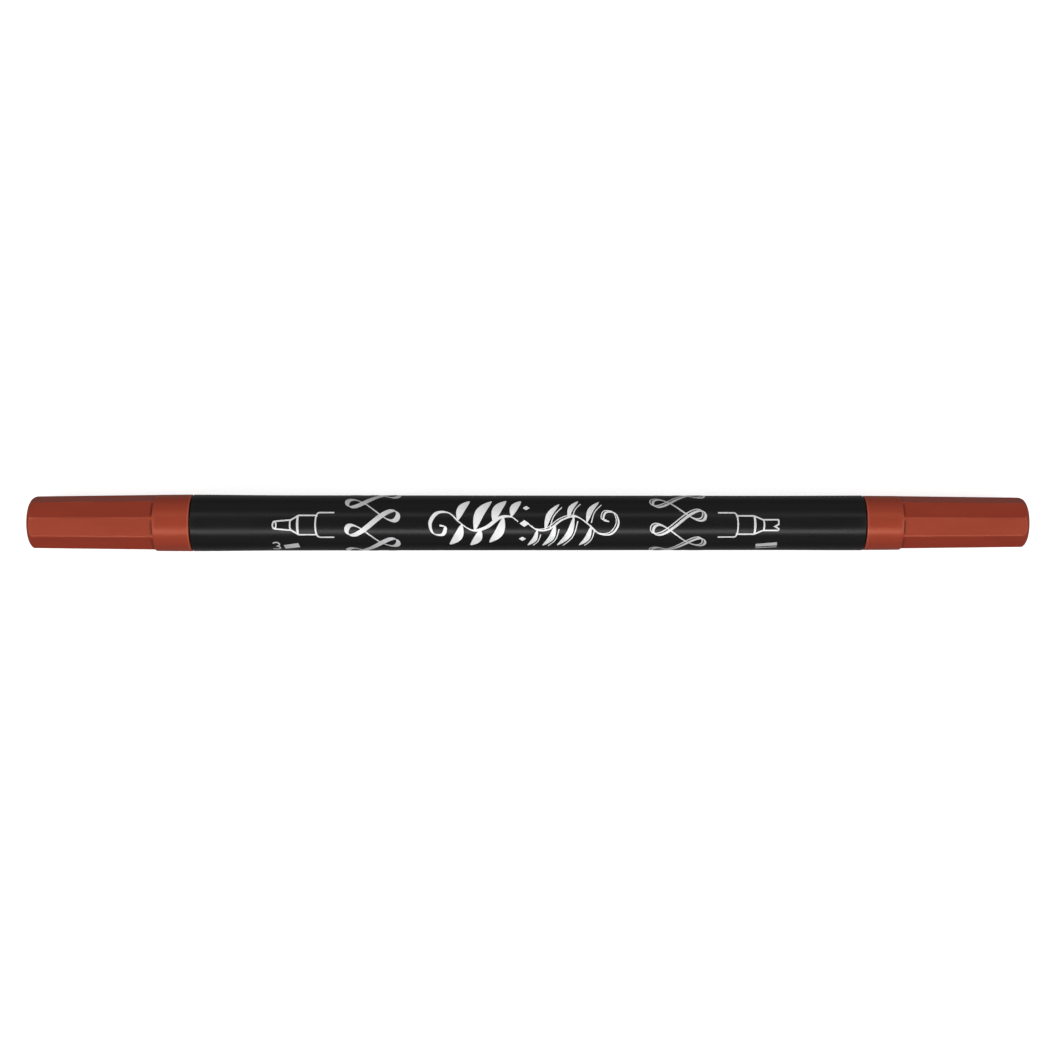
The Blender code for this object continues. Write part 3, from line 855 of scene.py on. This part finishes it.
# ---------------------------------------------------------------------------------------------
# Ink reservoir. A rod of crimped polyester tow, soaked with brown ink, in a sleeve of clear film
# that is heat-sealed along one side. Both are sealed in the barrel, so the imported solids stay.
# ---------------------------------------------------------------------------------------------
TOW_DEEP, TOW_PALE = (0.09, 0.018, 0.01, 1), (0.4, 0.11, 0.06, 1)
FILM_INKED, FILM_CLEAR = (0.55, 0.42, 0.38, 1), (0.82, 0.82, 0.81, 1)
FILM_SEAL_AT = 0.0034


def tow_finish():
    """Crimped fibres along the rod, unevenly soaked with ink."""
    finish = Finish("soaked_tow", Specular_IOR_Level=0.25)
    strands = finish.grain(0.00012, detail=4, stretch=40)
    soak = finish.grain(0.005, detail=3)
    colour = (strands * 0.5 + soak * 0.5).mix(TOW_DEEP, TOW_PALE)
    finish.set(Base_Color=colour, Roughness=strands * 0.3 + 0.6)
    finish.relief(strands, 0.00004)
    return finish.material


def film_finish():
    """Clear film, crinkled and stained, and doubled over at its seal."""
    finish = Finish("clear_film", Roughness=0.16)
    crinkle = finish.grain(0.0018, detail=3, stretch=6)
    seal = (finish.across().math("ABSOLUTE") > FILM_SEAL_AT) * 0.4
    colour = (crinkle * 0.5 + seal).mix(FILM_INKED, FILM_CLEAR)
    finish.set(Base_Color=colour, Alpha=crinkle * 0.2 + seal + 0.3)
    finish.relief(crinkle, 0.00006)
    return finish.material


for node_name, finish in (("ink_reservoir", tow_finish()), ("reservoir_wrap", film_finish())):
    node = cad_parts[node_name]
    node.data.materials.clear()
    node.data.materials.append(finish)

# ---------------------------------------------------------------------------------------------
# Cap shells. Terracotta polypropylene, moulded in one. The collar at the mouth is round, and nine
# flats past it give the fingers a grip and stop the pen from rolling. The flats run out against
# the collar in shallow curved steps, and into the rounded closed end, which has a gate mark.
# ---------------------------------------------------------------------------------------------
CAP_GAP = 0.0003
CAP_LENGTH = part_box("twin_cap_shell")[1].x - BARREL_END - CAP_GAP
MOUTH_RADIUS = {"chisel": 0.00462, "twin": 0.00442}
COLLAR_LENGTH, COLLAR_DRAFT, CAP_TAPER = 0.0057, 0.00004, 0.0123
RUNOUT_END = 0.0068
CORNER_RADIUS = 0.0013
LIP_EDGE = 0.00014
LIP_REACH = 0.00012
FACETS = 9
FACET_SHARE = 1.004
FACET_CORNER = 0.00042
RUNOUT_SLOPE = 0.95
CREASE = 0.00005
MOUTH_BORE, RIDGE_BORE, RIDGE_AT = 0.00372, 0.00362, (0.0007, 0.0014)
STEP_AT, DEEP_BORE, DEEP_END = 0.0083, 0.00342, 0.0246
GATE_RADIUS, GATE_DEPTH = 0.00055, 0.00006
CAP_SIDES = 540


def cap_radius(end_name, out):
    """Radius of the cap's round form past the collar, at a distance out from its mouth."""
    return MOUTH_RADIUS[end_name] - COLLAR_DRAFT - CAP_TAPER * (out - COLLAR_LENGTH)


def spread_between(start, end, steps):
    return [start + (end - start) * i / steps for i in range(steps + 1)]


def cap_outline(end_name):
    """The section of a cap, from its closed end's middle over the outside and back up the bore."""
    corner_start = CAP_LENGTH - CORNER_RADIUS
    corner_middle = cap_radius(end_name, corner_start) - CORNER_RADIUS
    mouth = MOUTH_RADIUS[end_name]
    outline = [(CAP_LENGTH - GATE_DEPTH, 0), (CAP_LENGTH - GATE_DEPTH, GATE_RADIUS * 0.8)]
    outline += [(CAP_LENGTH, GATE_RADIUS), (CAP_LENGTH, corner_middle * 0.75)]
    outline += fillet(corner_start, corner_middle, CORNER_RADIUS, 0, 90, 30)
    # The rings are close together over the run-out, where the flats make its curved steps.
    rings = spread_between(corner_start, RUNOUT_END, 12)[1:]
    rings += spread_between(RUNOUT_END, COLLAR_LENGTH, 44)[1:]
    outline += [(out, cap_radius(end_name, out)) for out in rings]
    outline += [(out, mouth - COLLAR_DRAFT * out / COLLAR_LENGTH) for out in (0.0052, 0.004, 0.002)]
    outline += fillet(LIP_EDGE - LIP_REACH, mouth - LIP_EDGE, LIP_EDGE, 90, 180)
    outline += [(-LIP_REACH, MOUTH_BORE + LIP_EDGE), (LIP_EDGE - LIP_REACH, MOUTH_BORE)]
    ridge_start, ridge_end = RIDGE_AT
    for share in spread_between(0, 1, 8):
        rise = (MOUTH_BORE - RIDGE_BORE) * math.sin(math.pi * share) ** 2
        outline.append((ridge_start + (ridge_end - ridge_start) * share, MOUTH_BORE - rise))
    outline += [
        (STEP_AT, MOUTH_BORE),
        (STEP_AT + MOUTH_BORE - DEEP_BORE, DEEP_BORE),
        (DEEP_END, DEEP_BORE),
        (DEEP_END, 0),
    ]
    return outline


def soft_least(first, second):
    """The smaller of two lengths, with the crease where they cross rounded off."""
    overlap = max(CREASE - abs(first - second), 0) / CREASE
    return min(first, second) - overlap * overlap * CREASE / 4


def flat_distance(round_radius, angle):
    """How far out the nine flats lie at an angle from +Y, with a small radius on their corners."""
    half_step = math.pi / FACETS
    corner_reach = round_radius * FACET_SHARE
    apothem = corner_reach * math.cos(half_step) - FACET_CORNER
    hub = apothem / math.cos(half_step)
    from_corner = abs((angle + half_step) % (2 * half_step) - half_step)
    side_on = FACET_CORNER * math.sin(half_step)
    if from_corner > math.atan2(side_on, hub + FACET_CORNER * math.cos(half_step)):
        return (apothem + FACET_CORNER) / math.cos(half_step - from_corner)
    across = hub * math.sin(from_corner)
    return hub * math.cos(from_corner) + math.sqrt(FACET_CORNER**2 - across**2)


def mill_flats(shell, end_name):
    """Brings the round form in to the flats, except where the run-out keeps the collar whole."""
    side = ENDS[end_name]
    collar = MOUTH_RADIUS[end_name] - COLLAR_DRAFT
    for vertex in shell.data.vertices:
        out = side * vertex.co.x - BARREL_END - CAP_GAP
        radius = math.hypot(vertex.co.y, vertex.co.z)
        if out <= COLLAR_LENGTH - CREASE or radius <= DEEP_BORE + 0.0001:
            continue
        flats = flat_distance(cap_radius(end_name, out), math.atan2(vertex.co.z, vertex.co.y))
        runout = collar - (out - COLLAR_LENGTH) * RUNOUT_SLOPE
        milled = soft_least(radius, -soft_least(-flats, -runout))
        vertex.co.y *= milled / radius
        vertex.co.z *= milled / radius


CAP_DEEP, CAP_PLAIN = (0.29, 0.0295, 0.0142, 1), (0.335, 0.0375, 0.0175, 1)
# The collar's colour is made paler as a painted highlight on its round face.
# The pale colour is partly wear and partly a painted highlight along the flats' corners and the lip; it also
# tints pale specks.
CAP_COLLAR_HIGHLIGHT, CAP_PALE_WEAR_AND_HIGHLIGHT = (0.43, 0.062, 0.03, 1), (0.445, 0.095, 0.052, 1)
# The last colour is painted shade, laid in the steps where the flats run out against the collar.
CAP_STEP_SHADE = (0.11, 0.009, 0.005, 1)


def cap_finish(name):
    """Pearly terracotta plastic, with flow swirls, an orange peel, and corners polished by use.

    The collar is painted a little paler, as a painted highlight. The polished corners and the lip are painted
    paler too, partly as wear and partly as painted highlights on their edges. Painted shade darkens the steps
    where the flats run out against the collar.
    """
    finish = Finish(name, Metallic=0.15, Specular_IOR_Level=0.7, Specular_Tint=(1, 0.62, 0.4, 1))
    swirl = finish.grain(0.004, detail=4, stretch=2.5)
    peel = finish.grain(0.00042, detail=2)
    specks = finish.grain(0.00013, detail=2).between(0.7, 0.78)
    rub = finish.grain(0.0016, detail=4, stretch=4).between(0.35, 0.7)
    round_angle = finish.up().math("ARCTAN2", finish.across())
    from_corner = (round_angle * (FACETS / 2)).math("SINE").math("ABSOLUTE")
    out = finish.along().math("ABSOLUTE") - (BARREL_END + CAP_GAP)
    past_collar = out.between(COLLAR_LENGTH, COLLAR_LENGTH + 0.0004)
    # The band just past the collar where the run-out steps get their painted shade.
    runout = out.between(COLLAR_LENGTH - 0.00005, COLLAR_LENGTH + 0.00015)
    runout = runout * (1 - out.between(COLLAR_LENGTH + 0.00025, COLLAR_LENGTH + 0.0005))
    on_flats = past_collar * (1 - out.between(CAP_LENGTH - 0.001, CAP_LENGTH - 0.0004))
    # The flats' corners: glossier from wear, and painted paler as a painted highlight along their edges.
    corner = (1 - from_corner.between(0.03, 0.14)) * on_flats
    lip = 1 - out.between(0.00002, 0.00022)
    colour = (swirl * 0.7 + rub * 0.3).mix(CAP_DEEP, CAP_PLAIN)
    # Painted highlight: the round collar is made paler, so its band of light shows brighter.
    colour = ((1 - past_collar) * 0.3).mix(colour, CAP_COLLAR_HIGHLIGHT)
    # Painted shade in the run-out steps, deepest midway across each flat.
    colour = (runout * from_corner.between(0.1, 0.6) * (rub * 0.3 + 0.65)).mix(colour, CAP_STEP_SHADE)
    # Partly wear and partly painted highlight: the flats' corners and the mouth's lip are made paler where
    # light catches their edges.
    colour = (corner * (rub * 0.5 + 0.35) + lip * 0.7).mix(colour, CAP_PALE_WEAR_AND_HIGHLIGHT)
    colour = (specks * 0.3).mix(colour, CAP_PALE_WEAR_AND_HIGHLIGHT)
    finish.set(Base_Color=colour, Roughness=0.34 - corner * 0.1 + (swirl - 0.5) * 0.1 + specks * 0.15)
    finish.relief(peel * 0.7 + swirl * 0.3, 0.000006)
    return finish.material


cap_terracotta = cap_finish("cap_terracotta")
for end_name, side in ENDS.items():
    place = [(side * (BARREL_END + CAP_GAP + out), radius) for out, radius in cap_outline(end_name)]
    shell = spun(end_name + "_cap", place, CAP_SIDES)
    mill_flats(shell, end_name)
    smooth(shell, 40)
    node = end_name + "_cap_shell"
    fit(shell, cap_terracotta, end_name + "_cap", "cap_plastic", node)

# ---------------------------------------------------------------------------------------------
# Inner caps. A soft cup of uncoloured polyethylene is pressed into each shell. Its flared mouth
# closes on the holder's cone and keeps the nib from drying, and its bore is stained by the ink.
# ---------------------------------------------------------------------------------------------
CUP_RADIUS, CUP_BORE = 0.00335, 0.00295
CUP_START, CUP_FLOOR, CUP_END = 0.0092, 0.0220, 0.0226
CUP_FLARE, CUP_FLARE_BORE = 0.0005, 0.00312
CUP_EDGE = 0.00012
CUP_CORNER = 0.0004
CUP_WAXY, CUP_BLOOM, CUP_STAIN = (0.66, 0.64, 0.57, 1), (0.78, 0.77, 0.72, 1), (0.36, 0.13, 0.07, 1)


def polyethylene():
    """Milky soft plastic with a waxy bloom, and brown stains deeper in."""
    finish = Finish("milky_polyethylene", Specular_IOR_Level=0.35, Subsurface_Weight=0.15)
    finish.shader.inputs["Subsurface Scale"].default_value = 0.001
    bloom = finish.grain(0.0012, detail=4)
    stains = finish.grain(0.0022, detail=5, stretch=2).between(0.52, 0.72)
    deep = finish.along().math("ABSOLUTE").between(BARREL_END + CUP_START, BARREL_END + CUP_FLOOR)
    colour = bloom.mix(CUP_WAXY, CUP_BLOOM)
    colour = (stains * deep * 0.7).mix(colour, CUP_STAIN)
    finish.set(Base_Color=colour, Roughness=bloom * 0.15 + 0.38)
    finish.relief(bloom, 0.00001)
    return finish.material


cup_plastic = polyethylene()
for end_name, side in ENDS.items():
    outline = [
        (CUP_END, 0),
        *fillet(CUP_END - CUP_EDGE, CUP_RADIUS - CUP_EDGE, CUP_EDGE, 0, 90),
        (CUP_START + CUP_EDGE, CUP_RADIUS),
        (CUP_START, CUP_RADIUS - CUP_EDGE),
        (CUP_START, CUP_FLARE_BORE),
        (CUP_START + CUP_FLARE, CUP_BORE),
        *fillet(CUP_FLOOR - CUP_CORNER, CUP_BORE - CUP_CORNER, CUP_CORNER, 90, 0),
        (CUP_FLOOR, 0),
    ]
    place = [(side * (BARREL_END + out), radius) for out, radius in outline]
    cup = spun(end_name + "_cup", place, 180)
    smooth(cup)
    node = end_name + "_inner_cap"
    fit(cup, cup_plastic, end_name + "_cap", "inner_cap_plastic", node)
